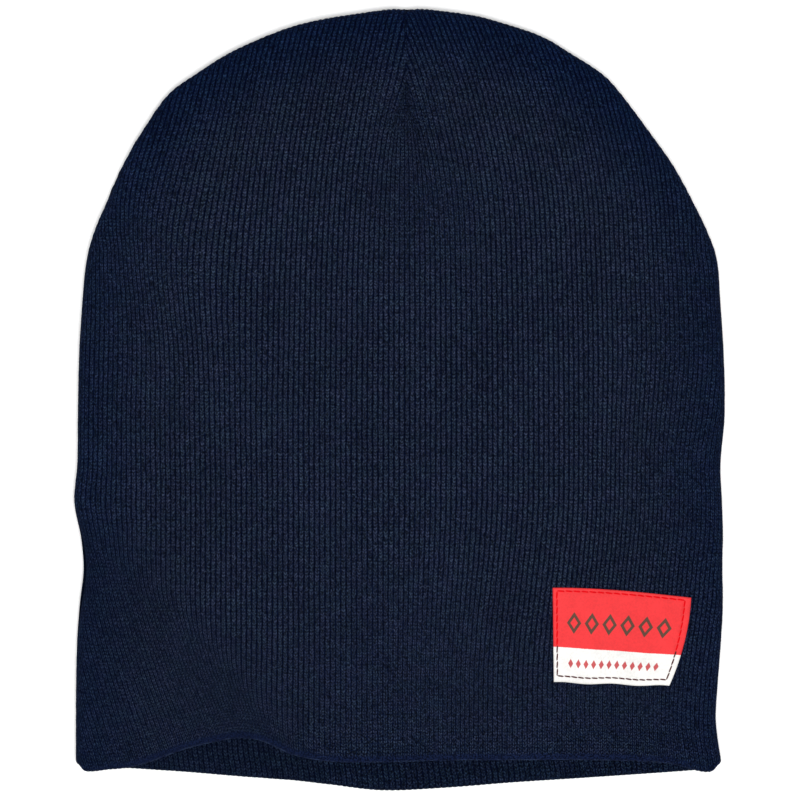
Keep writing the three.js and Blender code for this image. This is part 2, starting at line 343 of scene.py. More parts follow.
class KnitSettings(bpy.types.PropertyGroup):
    """Sizes and colours of the knit."""

    course: number("Course height", "Height of one row of stitches, in millimetres", 1.15)
    rib_depth: number("Rib depth", "From crest to groove, in millimetres", 0.7)
    rib_proud: number("Rib proud", "How far crests stand above the wall, in millimetres", 0.2)
    rib_squareness: number("Rib squareness", "Power of the rib's cosine: less is flatter", 0.55)
    stitch_relief: number("Stitch relief", "Height of the stitches as a share of the rib", 0.1)
    unevenness: number("Unevenness", "How much single stitches differ in height, as a share", 0.16)
    wander: number("Groove wander", "How far the grooves stray sideways, in millimetres", 0.1)
    seam_level: number("Seam level", "Where the cloth lies in its seams, in millimetres", -0.3)
    crest_colour: colour("Crest colour", "Yarn on top of the ribs", 0.0216, 0.0308, 0.0545)
    # The groove colour is painted shade down between the ribs.
    groove_painted_shade: colour("Groove colour", "Yarn down between the ribs", 0.0003, 0.0016, 0.0095)
    # The hem colour is a painted blue sheen where the knit turns in, the lip colour a painted highlight
    # along its edge.
    hem_painted_sheen: colour("Hem colour", "Where the knit turns in at the hem", 0.0036, 0.0068, 0.024)
    lip_painted_highlight: colour("Lip colour", "Strands along the hem's outermost edge", 0.011, 0.018, 0.042)
    # The edge tint is painted shade, darker and bluer towards the crown's edge.
    painted_edge_tint: colour("Edge tint", "Multiplies the knit's colour at the crown's edge", 0.32, 0.64, 1.0)
    # The lining tint is painted shade on the inner layer, which lies in the outer one's shadow.
    lining_painted_shade: colour("Lining tint", "Multiplies the colour of the inner layer", 0.58, 0.7, 0.78)


class LabelSettings(bpy.types.PropertyGroup):
    """Sizes and colours of the woven label."""

    thickness: number("Thickness", "Of the folded label, in millimetres", 0.9)
    gap: number("Gap", "From the wall to the label, in millimetres", 0.3)
    curl: number("Curl", "How far the free corner stands up, in millimetres", 1.4)
    bow: number("Bow", "How far the free side bows out, in millimetres", 1.5)
    change: number("Colour change", "Share of the height at which red turns to white", 0.622)
    change_drop: number("Change drop", "How much lower it turns at the free side, as a share", 0.03)
    swell: number("Swell", "How far the upper edge swells out, in millimetres", 0.8)
    red: colour("Red", "Upper field", 0.68, 0.03, 0.034)
    white: colour("White", "Lower field", 0.72, 0.71, 0.69)
    dark: colour("Dark", "Woven figures on the red", 0.088, 0.042, 0.028)
    dots: colour("Dots", "Woven figures on the white", 0.45, 0.075, 0.08)
    thread: colour("Thread", "Sewing thread", 0.66, 0.0008, 0.005)
    thread_low: colour("Lower thread", "Sewing thread on the white", 0.065, 0.012, 0.014)
    stitch_pitch: number("Stitch pitch", "From stitch to stitch, in millimetres", 2.75)
    stitch_length: number("Stitch length", "Of the thread that shows, in millimetres", 2.65)
    stitch_slant: number("Stitch slant", "Sideways step of a stitch as a share of its length", 0.08)
    thread_width: number("Thread width", "In millimetres", 0.5)


class StageSettings(bpy.types.PropertyGroup):
    """Camera, floor and lights."""

    lens: number("Lens", "Focal length in millimetres", 200.0)
    view_width: number("View width", "What the picture spans at the fold's height", 0.2733, unit="LENGTH")
    floor_colour: colour("Floor colour", "Plain pale floor", 0.97, 0.97, 0.97)
    key_power: number("Key power", "Soft light from almost straight above, in watts", 30.0)
    fill_power: number("Fill power", "Wide light from above, in watts", 16.0)
    sky: number("Sky", "Strength of the even light from all round", 0.5)


def smoothstep(value, low, high):
    """The usual smooth ramp from 0 at low to 1 at high."""
    t = np.clip((value - low) / (high - low), 0, 1)
    return t * t * (3 - 2 * t)


def read_table(rows, place, column, at):
    """A column at places between its rows: cubic Hermite, each row's slope taken between its neighbours."""
    x, y = rows[place], rows[column]
    at = np.clip(at, x[0], x[-1])
    last = len(x) - 1
    behind = np.maximum(np.arange(last + 1) - 1, 0)
    ahead = np.minimum(np.arange(last + 1) + 1, last)
    slope = (y[ahead] - y[behind]) / (x[ahead] - x[behind])
    k = np.clip(np.searchsorted(x, at) - 1, 0, last - 1)
    width = x[k + 1] - x[k]
    t = (at - x[k]) / width
    rise = t * t * (3 - 2 * t)
    bend = t * (1 - t) ** 2 * slope[k] - t * t * (1 - t) * slope[k + 1]
    return y[k] * (1 - rise) + y[k + 1] * rise + width * bend


def smooth_line(points, steps):
    """Catmull-Rom: a cubic between each two points, its ends' slopes parallel to the neighbours' chord."""
    ends = np.vstack([points[:1], points, points[-1:]])
    p0, p1, p2, p3 = (ends[k:len(ends) - 3 + k, None] for k in range(4))
    t = (np.arange(steps) / steps)[None, :, None]
    v1, v2 = (p2 - p0) / 2, (p3 - p1) / 2
    line = (2 * p1 - 2 * p2 + v1 + v2) * t**3 + (3 * p2 - 3 * p1 - 2 * v1 - v2) * t**2 + v1 * t + p1
    return np.vstack([line.reshape(-1, 2), points[-1:]])


def outline_line():
    """The outline up the left side, over the apex and down the right side, run on past the mouth."""
    left = np.column_stack([-OUTLINE["left"], OUTLINE["along"]])
    right = np.column_stack([OUTLINE["right"], OUTLINE["along"]])[::-1]
    line = smooth_line(np.vstack([left, [APEX], right]), OUTLINE_STEPS)
    past = np.array([[0, -PAST_MOUTH]])
    return np.vstack([line[:1] + past, line, line[-1:] + past])


class Field:
    """Values on a square grid seen from above, read between its nodes by bilinear mixing."""

    low = np.array([-124.0, -156.0])
    high = np.array([124.0, 146.0])
    pitch = 1.0

    def __init__(self, values):
        self.values = values

    @classmethod
    def nodes(cls):
        across = np.arange(cls.low[0], cls.high[0] + cls.pitch, cls.pitch)
        along = np.arange(cls.low[1], cls.high[1] + cls.pitch, cls.pitch)
        return np.meshgrid(across, along, indexing="ij")

    def at(self, across, along):
        limit = np.array(self.values.shape) - 1.001
        i = np.clip((across - self.low[0]) / self.pitch, 0, limit[0])
        j = np.clip((along - self.low[1]) / self.pitch, 0, limit[1])
        i0, j0 = i.astype(int), j.astype(int)
        a, b = i - i0, j - j0
        v = self.values
        near = v[i0, j0] * (1 - a) + v[i0 + 1, j0] * a
        far = v[i0, j0 + 1] * (1 - a) + v[i0 + 1, j0 + 1] * a
        return near * (1 - b) + far * b


def signed_inset(across, along, line):
    """Distance in from a line to each place: the least distance to its pieces, negative outside."""
    start, step = line[:-1], np.diff(line, axis=0)
    inset = np.empty(across.shape)
    for i, (row_across, row_along) in enumerate(zip(across, along)):
        from_start = np.stack([row_across, row_along], -1)[:, None] - start
        t = np.clip((from_start * step).sum(-1) / (step**2).sum(-1), 0, 1)
        away = from_start - t[..., None] * step
        distance = np.linalg.norm(away, axis=-1)
        nearest = distance.argmin(1)
        pick = np.arange(len(nearest))
        side = away[pick, nearest, 0] * step[nearest, 1] - away[pick, nearest, 1] * step[nearest, 0]
        inset[i] = distance[pick, nearest] * np.where(side < 0, -1, 1)
    return inset


def outline_fields():
    """The inset from the outline, and its slope, which is the inward direction."""
    inset = signed_inset(*Field.nodes(), outline_line())
    slope_across, slope_along = np.gradient(inset, Field.pitch)
    return Field(inset), Field(slope_across), Field(slope_along)


INSET, INWARD_ACROSS, INWARD_ALONG = outline_fields()


def inward_of_arc(across, along):
    """How far in each place lies from where the fold's arc ends and the front begins."""
    return np.maximum(INSET.at(across, along) - ARC_INSET, 0)


def bell(across, along, spot):
    """1 at a spot, falling off round it as a bell of the spot's radius."""
    away = np.hypot(across - spot["across"], along - spot["along"]) / spot["radius"]
    return np.exp(-away**2)


def distance_to_piece(across, along, start, end):
    """Distance to a straight piece from start to end."""
    dx, dy = end[0] - start[0], end[1] - start[1]
    t = np.clip(((across - start[0]) * dx + (along - start[1]) * dy) / (dx * dx + dy * dy), 0, 1)
    return np.hypot(across - start[0] - t * dx, along - start[1] - t * dy)


def front_relief(across, along):
    """The dents and grooves of the front as a depth: bells round points and along pieces."""
    clear = smoothstep(inward_of_arc(across, along), 0, FOLD_CLEAR)
    depth = np.zeros_like(across)
    for dent in DENTS:
        depth += dent["depth"] * bell(across, along, dent) * clear
    for groove in GROOVES:
        away = distance_to_piece(across, along, groove["start"], groove["end"]) / groove["radius"]
        depth += groove["depth"] * np.exp(-away**2)
    return depth


def front_height(across, along):
    """The front's height: a quarter sine wave in from the fold, less towards the mouth, less its relief."""
    inward = inward_of_arc(across, along)
    rise = SWELL * np.sin(math.pi / 2 * np.minimum(inward / SWELL_REACH, 1))
    above_hem = along - read_table(HEM, "across", "front", across)
    settled = smoothstep(above_hem, 0, HEM_REACH)
    at_mouth = read_table(HEM, "across", "open", across)
    share = 1 + (at_mouth + (1 - at_mouth) * settled - 1) * smoothstep(inward, 0, FOLD_CLEAR)
    return ARC_TOP + rise * share - front_relief(across, along)


def front_normal(across, along):
    """The front's upward normal, from its slopes both ways."""
    ahead, behind = front_height(across + SLOPE_STEP, along), front_height(across - SLOPE_STEP, along)
    up, down = front_height(across, along + SLOPE_STEP), front_height(across, along - SLOPE_STEP)
    normal = np.stack([behind - ahead, down - up, np.full_like(across, 2 * SLOPE_STEP)], -1)
    return normal / np.linalg.norm(normal, axis=-1, keepdims=True)


def on_hem(across, along, rear):
    """Slides places along Y so that the first course lies on the mouth's edge and those above settle."""
    settled = smoothstep(along - MOUTH, 0, HEM_SETTLE)
    edge = read_table(HEM, "across", "rear" if rear else "front", across) + WALL / 2
    return along + (edge - MOUTH) * (1 - settled)


def half_width(along, side):
    """From the middle line out to the outline on each side, below the darts."""
    along = np.minimum(along, DART_START)
    left = read_table(OUTLINE, "along", "left", along) + MIDDLE
    right = read_table(OUTLINE, "along", "right", along) - MIDDLE
    return np.where(side < 0, left, right)


def crowd(share):
    """Wales lie a little closer at the fold: a cubic of their share of the way, alike on both its sides."""
    before = np.minimum(share, 2 - share)
    before = before * (1 + WALE_CROWDING) - WALE_CROWDING * before**3
    return np.where(share > 1, 2 - before, before)


def wedge_pull(across, along):
    """How strongly the wedge pulls at each place: a slightly bent plane, above 0 inside the wedge."""
    away = across - WEDGE["across"]
    down = WEDGE["along"] - along
    return WEDGE["lean"] * down - WEDGE["crowding"] * away - WEDGE["bend"] * away**2


def downward(along, span):
    """A smooth step from 0 at a span's top to 1 at its bottom."""
    return smoothstep(-along, -span["top"], -span["bottom"])


def slip(across, along, to_fold, rear):
    """How far the cloth slips in the way of +X: a bell beside a fold, ramps, and a wedge.

    The wedge is the soft positive part of its pull, over how much the wales crowd in it.
    """
    off_bell = (along - BOW["along"] + BOW["slant"] * to_fold) / BOW["spread"]
    reached = (1 - smoothstep(to_fold, BOW["full"], BOW["none"])) * (across < 0)
    both = BOW["shift"] * np.exp(-off_bell**2) * reached
    for draw in DRAWS:
        both += draw["shift"] * downward(along, draw) * smoothstep(across, draw["start"], draw["end"])
    if rear:
        return HEM_LEAN["shift"] * downward(along, HEM_LEAN) - both
    wedge = WEDGE["softness"] * np.logaddexp(0, wedge_pull(across, along) / WEDGE["softness"])
    return both + wedge / (1 + WEDGE["crowding"])


def wale_place(wale, along, rear):
    """Where a wale runs on the cloth laid out flat, and the wales' pitch at the fold.

    A wale keeps its share of the half width, with the outline's small waves evened out but near the fold.
    In the crown it leans in as the crown's table says, by one column at the sides and by the other beside
    the centre seam, where the wales are squeezed evenly. Then it slips sideways with the cloth.
    """
    side = np.where(wale < 0, -1, 1)
    share = np.abs(wale) / WALES
    straight = np.minimum(along, DART_START)
    even = sum(half_width(straight + offset, side) for offset in EVEN_OUT) / len(EVEN_OUT)
    wave = half_width(straight, side) - even
    arc = REAR_ARC if rear else FRONT_ARC
    laid_out = even + FOLD_RADIUS * (arc - 1 + math.cos(arc))
    out = laid_out * crowd(share) + wave * smoothstep(share, EDGE_FOLLOW, 1)

    leans = {}
    for place in ("side", "seam"):
        left = read_table(CROWN, "along", f"left_{place}", along)
        right = read_table(CROWN, "along", f"right_{place}", along)
        leans[place] = np.where(side < 0, left, right)
    squeezed = leans["seam"] * np.minimum(out / np.where(side < 0, *SQUEEZED), 1)
    lean = squeezed + (leans["side"] - leans["seam"]) * smoothstep(out, 0, LEAN_SPREAD)

    across = MIDDLE + side * (out - lean)
    placed = on_hem(across, along, rear)
    across = across + slip(across, placed, laid_out + wave - out, rear)
    return across, laid_out * (1 - 2 * WALE_CROWDING) / WALES


def seam_across(along):
    """The centre seam, a straight line from the middle up to the apex."""
    share = (along - DART_START) / (APEX[1] - DART_START)
    return MIDDLE + (APEX[0] - MIDDLE) * np.clip(share, 0, 1)


def wrapped(wale, course_along, rear):
    """Cloth laid out flat, wrapped onto the cap's base surface.

    Each place is brought in to the seams where it lies past them. Within an arc's length of the edge it is
    carried round the fold: angle = distance / radius. Beyond that it lies on the front or the flat back.
    Returns the points, their outward normals, which of them lie past a seam or the fold, the distances to
    the fold and to the nearest seam, and the wale numbers, which stop at the fold as the points do.
    """
    across, pitch = wale_place(wale, course_along, rear)
    along = on_hem(across, course_along, rear)

    seam = seam_across(along)
    side = np.where(wale < 0, -1, 1)
    over_seam = (along > SEAM_START) & (side * (across - seam) <= 0)
    across = np.where(over_seam, seam, across)
    to_seam = np.abs(across - seam) + (1 - smoothstep(along, *SEAM_SEWN)) * FOLD_CLEAR

    inset = INSET.at(across, along)
    inward = np.stack([INWARD_ACROSS.at(across, along), INWARD_ALONG.at(across, along)], -1)
    inward /= np.maximum(np.linalg.norm(inward, axis=-1, keepdims=True), 1e-9)
    arc = REAR_ARC if rear else FRONT_ARC
    laid_out = inset + FOLD_RADIUS * (arc - 1 + math.cos(arc))
    angle = np.clip(laid_out / FOLD_RADIUS, 0, arc)
    on_arc = laid_out < FOLD_RADIUS * arc
    move = np.where(on_arc, FOLD_RADIUS * (1 - np.cos(angle)) - inset, 0)
    across = across + inward[..., 0] * move
    along = along + inward[..., 1] * move

    turn = -1 if rear else 1
    flat = -inward * np.cos(angle)[..., None]
    arc_normal = np.concatenate([flat, turn * np.sin(angle)[..., None]], -1)
    arc_height = FOLD_RADIUS * (1 + turn * np.sin(angle))
    height = np.where(on_arc, arc_height, 0 if rear else front_height(across, along))
    normal = np.where(on_arc[..., None], arc_normal, [0, 0, -1] if rear else front_normal(across, along))
    points = np.stack([across, along, height], -1)
    if not rear:
        points -= np.where(on_arc, front_relief(across, along), 0)[..., None] * normal

    unsewn = 1 - smoothstep(course_along, DART_START - DART_BLEND, DART_START + DART_BLEND)
    to_fold = np.maximum(laid_out, 0)
    return {
        "points": points,
        "normal": normal,
        "past": over_seam | (laid_out <= 0),
        "to_fold": to_fold,
        "to_seam": np.minimum(to_fold + unsewn * FOLD_CLEAR, to_seam),
        "wale": wale + side * np.minimum(laid_out, 0) / pitch,
    }


class Yarn:
    """Seeded values between -1 and 1 for each wale of the whole tube, smooth along it.

    The tube's wales are numbered from the front's middle round to the left fold, over the rear and back.
    """

    every = 1.5

    def __init__(self, seed, courses):
        shape = (TUBE_WALES, int(courses / self.every) + 4)
        self.values = np.random.default_rng(seed).uniform(-1, 1, shape)

    def at(self, wale, course):
        """The value of a whole wale at a course: straight lines between values a few courses apart."""
        row = wale.astype(int) % TUBE_WALES
        k = np.clip(course / self.every + 1, 0, self.values.shape[1] - 1.001)
        below = k.astype(int)
        share = k - below
        return self.values[row, below] * (1 - share) + self.values[row, below + 1] * share


def wedge_share(points):
    """How far inside the wedge points lie, up to 1: a smooth step of the wedge's pull."""
    return smoothstep(wedge_pull(points[..., 0], points[..., 1]), *WEDGE_SETS_IN)


def rib_fullness(points, to_fold, from_hem):
    """How full the ribs stand, up to 1: less by the folds, at the hem, and where the cloth is pulled."""
    above_hem = smoothstep(from_hem, -WALL / 2, FULL_FROM_HEM)
    fullness = HEM_FULLNESS + (read_table(FULLNESS, "inward", "full", to_fold) - HEM_FULLNESS) * above_hem
    fullness = fullness * (1 - WEDGE_FLATNESS * wedge_share(points))
    for area in PULLED:
        fullness = fullness * (1 - area["share"] * bell(points[..., 0], points[..., 1], area))
    return fullness


def painted_edge_shade(along, to_fold):
    """How far the painted edge shade has set in, up to 1 at the crown's edge: less inwards and at the sides.
    """
    inward = 1 - smoothstep(to_fold, 0, PAINTED_EDGE_SHADE["reach"])
    up_crown = smoothstep(along, PAINTED_EDGE_SHADE["start"], PAINTED_EDGE_SHADE["full"])
    return inward * (PAINTED_EDGE_SHADE["at_sides"] + (1 - PAINTED_EDGE_SHADE["at_sides"]) * up_crown)


def rib_relief(knit, wale, course, cloth, proud, uneven):
    """Height of the ribs over the wall.

    Across a rib it is a power of a cosine, with narrow grooves at whole wales; along it a wave whose phase
    runs back towards the rib's sides makes the V of each stitch. In the seams it falls to their level.
    """
    off_crest = np.abs(wale - np.floor(wale) - 0.5)
    profile = np.cos(math.pi * off_crest) ** knit.rib_squareness
    stitch = 1 + knit.stitch_relief * np.cos(2 * math.pi * (course - V_LEAN * off_crest))
    depth = knit.rib_depth * cloth["fullness"]
    height = depth * (profile * (stitch + knit.unevenness * uneven) - 1) + proud
    free = smoothstep(cloth["to_seam"], 0, SEAM_FADE)
    return knit.seam_level + (height - knit.seam_level) * free


def grid_faces(shape, dropped=None):
    """Quads of a grid of points, without those whose four corners are all dropped."""
    index = np.arange(shape[0] * shape[1]).reshape(shape)
    quads = np.stack([index[:-1, :-1], index[1:, :-1], index[1:, 1:], index[:-1, 1:]], -1)
    if dropped is None:
        return quads.reshape(-1, 4)
    gone = dropped[:-1, :-1] & dropped[1:, :-1] & dropped[1:, 1:] & dropped[:-1, 1:]
    return quads[~gone]


def without_collapsed(points, quads):
    """Quads with two neighbouring corners at one place as triangles, whose last number is -1.

    Those with fewer than three places left are dropped.
    """
    corners = points[quads]
    same = np.linalg.norm(corners - np.roll(corners, 1, 1), axis=2) < SAME_PLACE
    collapsed = same.any(1)
    thin = same[collapsed].sum(1) > 1
    order = (same[collapsed].argmax(1)[:, None] + np.arange(1, 5)) % 4
    triangles = np.take_along_axis(quads[collapsed], order, 1)
    triangles[:, 3] = -1
    return np.concatenate([quads[~collapsed], triangles[~thin]])


def point_normals(points, quads):
    """Unit normals at the points: the sum of the quads' own normals round each."""
    a, b, c, d = (points[quads[:, k]] for k in range(4))
    face = np.cross(c - a, d - b)
    normals = np.zeros_like(points)
    for k in range(4):
        for axis in range(3):
            normals[:, axis] += np.bincount(quads[:, k], face[:, axis], len(points))
    return normals / np.maximum(np.linalg.norm(normals, axis=1, keepdims=True), 1e-12)


def make_piece(name, points, faces, uv, material, normals=None, attributes=None):
    """A mesh object from arrays, in metres, with only the points that its faces use.

    Each row of faces has four point numbers, and a triangle's last one is -1. Attributes are named values
    of the points.
    """
    corner = faces >= 0
    used, index = np.unique(faces[corner], return_inverse=True)
    sizes = corner.sum(1)
    mesh = bpy.data.meshes.new(name)
    mesh.vertices.add(len(used))
    mesh.vertices.foreach_set("co", (points[used] * MM).astype(np.float32).ravel())
    mesh.loops.add(index.size)
    mesh.loops.foreach_set("vertex_index", index.astype(np.int32).ravel())
    mesh.polygons.add(len(faces))
    mesh.polygons.foreach_set("loop_start", (np.cumsum(sizes) - sizes).astype(np.int32))
    mesh.update(calc_edges=True)
    mesh.polygons.foreach_set("use_smooth", np.ones(len(faces), bool))
    layer = mesh.uv_layers.new(name="UVMap")
    layer.data.foreach_set("uv", uv[used][index.ravel()].astype(np.float32).ravel())
    for label, values in (attributes or {}).items():
        attribute = mesh.attributes.new(label, "FLOAT", "POINT")
        attribute.data.foreach_set("value", values[used].astype(np.float32))
    mesh.validate()
    if normals is not None:
        mesh.normals_split_custom_set_from_vertices(normals[used].tolist())
    mesh.materials.append(material)
    piece = bpy.data.objects.new(name, mesh)
    bpy.context.scene.collection.objects.link(piece)
    return piece


def wale_columns(spare):
    """Columns of the mesh from past the left fold to past the right one."""
    whole = np.arange(-(WALES + spare[0]), WALES + spare[1])
    return np.append((whole[:, None] + np.array(WALE_PHASES)).ravel(), WALES + spare[1])


def knit_layer(knit, courses, rear, inner):
    """One layer of knit as a grid of wales and courses, with its half of the hem's turn.

    The hem's turn is a half round of the wall's thickness, and its courses come first. Ribs stand out along
    the normal, which turns with the hem. The grooves stray sideways by a seeded amount.
    """
    wales = wale_columns(REAR_SPARE if rear else FRONT_SPARE)
    numbers = (courses - MOUTH) / knit.course
    stray, uneven = (Yarn(seed, numbers[-1]) for seed in SEEDS)

    def round_tube(whole):
        return -2 * WALES - whole if rear else whole

    grid, rows = np.broadcast_arrays(wales[:, None], courses[None])
    whole, turn = np.floor(grid), -1 if rear else 1
    between = grid - whole
    before, after = (stray.at(round_tube(whole + step), numbers[None]) for step in (0, 1))
    strayed = turn * knit.wander / WALE_WIDTH * (before * (1 - between) + after * between)
    cloth = wrapped(grid + strayed, rows, rear)
    base, normal = cloth["points"], cloth["normal"]
    if inner:
        base = base - WALL * normal
        normal = -normal
    middle = base[:, :1] - WALL / 2 * normal[:, :1]
    angle = math.pi / 2 * (1 - np.arange(RIM_STEPS) / RIM_STEPS)[None, :, None]
    rim_normal = normal[:, :1] * np.cos(angle) + np.array([0, -1, 0]) * np.sin(angle)
    points = np.concatenate([middle + WALL / 2 * rim_normal, base], 1)
    normals = np.concatenate([rim_normal, normal], 1)

    def with_rim(values):
        return np.concatenate([np.repeat(values[:, :1], RIM_STEPS, 1), values], 1)

    cloth = {name: with_rim(cloth[name]) for name in ("past", "to_fold", "to_seam", "wale")}
    wale = np.where(cloth["past"], cloth["wale"], with_rim(grid))
    from_hem = np.concatenate([-WALL / 2 * angle[0, :, 0], courses - MOUTH])[None]
    course = from_hem / knit.course
    cloth["fullness"] = rib_fullness(points, cloth["to_fold"], from_hem)
    lowest = -knit.rib_depth * (knit.stitch_relief + knit.unevenness)
    proud = knit.rib_proud + (lowest - knit.rib_proud) * smoothstep(-normals[..., 2], *UNDERNEATH)
    crest = round_tube(np.floor(wale) + (1 if rear else 0))
    relief = rib_relief(knit, wale, course, cloth, proud, uneven.at(crest, course))
    calm = wedge_share(points)
    points = points + relief[..., None] * normals
    quads = grid_faces(wale.shape, cloth["past"])
    if rear != inner:
        quads = quads[:, ::-1]
    # Painted edge shade: how far the darker, bluer tint towards the folds has set in, kept as the attribute
    # "edge".
    shade = painted_edge_shade(from_hem + MOUTH, cloth["to_fold"])
    return {
        "points": points.reshape(-1, 3),
        "faces": without_collapsed(points.reshape(-1, 3), quads),
        "uv": np.stack(np.broadcast_arrays(wale, course), -1).reshape(-1, 2),
        "attributes": {"fullness": cloth["fullness"].ravel(), "edge": shade.ravel(), "calm": calm.ravel()},
        "normals": point_normals(points.reshape(-1, 3), quads),
    }


class Nodes:
    """Short ways to add nodes to one tree."""

    def __init__(self, tree):
        self.tree = tree

    def add(self, kind, **values):
        node = self.tree.nodes.new(kind)
        for key, value in values.items():
            setattr(node, key, value)
        return node

    def put(self, socket, value):
        """Links a socket to another node's output, or sets its own value."""
        if isinstance(value, bpy.types.NodeSocket):
            self.tree.links.new(value, socket)
        else:
            socket.default_value = value

    def math(self, operation, *values):
        node = self.add("ShaderNodeMath", operation=operation)
        for socket, value in zip(node.inputs, values):
            self.put(socket, value)
        return node.outputs[0]

    def times(self, first, second):
        return self.math("MULTIPLY", first, second)

    def times_add(self, first, second, third):
        return self.math("MULTIPLY_ADD", first, second, third)

    def minus(self, first, second):
        return self.math("SUBTRACT", first, second)

    def fill(self, node, values):
        """Puts values into a node's named inputs."""
        for name, value in values.items():
            self.put(node.inputs[name], value)

    def bump(self, height, strength, distance):
        """The normal bent by a height whose full step is a distance in millimetres."""
        node = self.add("ShaderNodeBump")
        self.fill(node, {"Height": height, "Strength": strength, "Distance": distance * MM})
        return node.outputs["Normal"]

    def around(self, value, amount):
        """A value from 0 to 1 as a factor round 1, which it leaves by half an amount each way."""
        return self.times_add(value, amount, 1 - amount / 2)

    def blend(self, first, second, share):
        """Two values mixed: the first, and a share of the way from it to the second."""
        return self.times_add(self.minus(second, first), share, first)

    def scale(self, vector, factor):
        node = self.add("ShaderNodeVectorMath", operation="SCALE")
        self.put(node.inputs[0], vector)
        self.put(node.inputs["Scale"], factor)
        return node.outputs[0]

    def mix(self, factor, first, second, blend="MIX"):
        node = self.add("ShaderNodeMix", data_type="RGBA", blend_type=blend)
        self.fill(node, {"Factor": factor, "A": first, "B": second})
        return node.outputs["Result"]

    def tinted(self, colour, tint):
        """A colour multiplied by another one."""
        return self.mix(1.0, colour, tint, "MULTIPLY")

    def places(self):
        """Each point's place in the texture map, and on the object in metres."""
        uv = self.add("ShaderNodeUVMap", uv_map="UVMap").outputs["UV"]
        return uv, self.add("ShaderNodeTexCoord").outputs["Object"]

    def noise(self, vector, scale, detail=2.0, roughness=0.5):
        node = self.add("ShaderNodeTexNoise")
        self.fill(node, {"Vector": vector, "Scale": scale, "Detail": detail, "Roughness": roughness})
        return node.outputs["Fac"]

    def ramp(self, value, low, high, start=0.0, end=1.0):
        """A smooth ramp from start at low to end at high, where low is the smaller."""
        node = self.add("ShaderNodeMapRange", interpolation_type="SMOOTHSTEP")
        self.fill(node, {"Value": value, "From Min": low, "From Max": high, "To Min": start, "To Max": end})
        return node.outputs["Result"]

    def split(self, vector):
        node = self.add("ShaderNodeSeparateXYZ")
        self.put(node.inputs[0], vector)
        return node.outputs

    def join(self, x, y):
        node = self.add("ShaderNodeCombineXYZ")
        self.put(node.inputs[0], x)
        self.put(node.inputs[1], y)
        return node.outputs[0]


def new_group(name, inputs, outputs):
    """An empty shader node group with named sockets; returns its tree, its Nodes and both ends."""
    tree = bpy.data.node_groups.new(name, "ShaderNodeTree")
    for way, sockets in (("INPUT", inputs), ("OUTPUT", outputs)):
        for label, kind in sockets.items():
            tree.interface.new_socket(name=label, in_out=way, socket_type=f"NodeSocket{kind}")
    nodes = Nodes(tree)
    return tree, nodes, nodes.add("NodeGroupInput"), nodes.add("NodeGroupOutput")


def stitch_group():
    """Stitches from wale and course numbers: the painted light and shade on the yarn at each place, and its
    height.

    A full rib is a band whose edges wander with noise, with painted shade in the grooves outside it; where
    it is flatter, its two legs show instead. The V-shaped legs are waves of painted highlight and shade
    whose phase runs back towards the sides and strays a little, and each stitch has a small hole at its
    middle, painted dark as shade to a depth of its own. Narrowing makes the grooves wider.
    """
    name = "knit stitches"
    if name in bpy.data.node_groups:
        return bpy.data.node_groups[name]
    tree, nodes, source, result = new_group(
        name,
        {"Wale and course": "Vector", "Fullness": "Float", "Narrowing": "Float"},
        {"Shade": "Float", "Height": "Float"},
    )
    wale, course, _ = nodes.split(source.outputs["Wale and course"])
    across = nodes.minus(nodes.math("FRACT", wale), 0.5)
    off_crest = nodes.math("ABSOLUTE", across)
    stretched = nodes.join(*(nodes.times(*pair) for pair in zip((wale, course), STITCH["noise_cells"])))
    wander = nodes.noise(stretched, 1.0, STITCH["edge_detail"], STITCH["edge_roughness"])
    wander = nodes.times_add(wander, STITCH["edge_wander"], -STITCH["edge_wander"] / 2)
    strayed = nodes.math("ADD", off_crest, wander)
    narrowed = nodes.times_add(source.outputs["Narrowing"], STITCH["narrowing"], strayed)
    # Outside the rib's band the yarn takes the groove colour: painted shade.
    rib = nodes.ramp(narrowed, *STITCH["rib_edge"], 1.0, 0.0)
    legs = nodes.math("COSINE", nodes.times(strayed, 4 * math.pi))
    legs = nodes.times_add(legs, -STITCH["leg_contrast"], STITCH["leg_level"])
    band = nodes.blend(legs, rib, source.outputs["Fullness"])

    cell = nodes.join(nodes.math("FLOOR", wale), nodes.math("FLOOR", course))
    random = nodes.add("ShaderNodeTexWhiteNoise", noise_dimensions="2D")
    nodes.put(random.inputs["Vector"], cell)
    own, other, _ = nodes.split(random.outputs["Color"])

    round_course = nodes.minus(nodes.math("FRACT", course), 0.5)
    hole_across, hole_along = (
        nodes.math("DIVIDE", *pair) for pair in zip((across, round_course), STITCH["hole_size"]))
    away = nodes.times(hole_along, hole_along)
    away = nodes.times_add(hole_across, hole_across, away)
    hole = nodes.times(nodes.ramp(away, *STITCH["hole_edge"], 1.0, 0.0), own)

    phase = nodes.times_add(nodes.noise(stretched, STITCH["phase_scale"]), STITCH["phase_wander"], course)
    phase = nodes.minus(phase, nodes.times(off_crest, V_LEAN))
    leg = nodes.math("COSINE", nodes.times(phase, 2 * math.pi))
    leg = nodes.times_add(leg, 0.5, 0.5)
    # Painted highlight along the stitches' legs, painted shade between them and in the holes, and a random
    # tone.
    shade = nodes.times_add(leg, STITCH["v_contrast"], STITCH["v_level"])
    shade = nodes.times(shade, nodes.times_add(hole, -STITCH["hole_depth"], 1.0))
    shade = nodes.times(shade, nodes.times_add(other, STITCH["own_contrast"], STITCH["own_level"]))
    nodes.put(result.inputs["Shade"], nodes.times(shade, band))
    height = nodes.times_add(hole, -STITCH["hole_depth"], nodes.times_add(leg, 0.5, 0.5))
    nodes.put(result.inputs["Height"], nodes.times(height, band))
    return tree


def principled(name):
    """A new material; returns it, its Nodes and its shader."""
    material = bpy.data.materials.new(name)
    material.use_nodes = True
    nodes = Nodes(material.node_tree)
    return material, nodes, material.node_tree.nodes["Principled BSDF"]


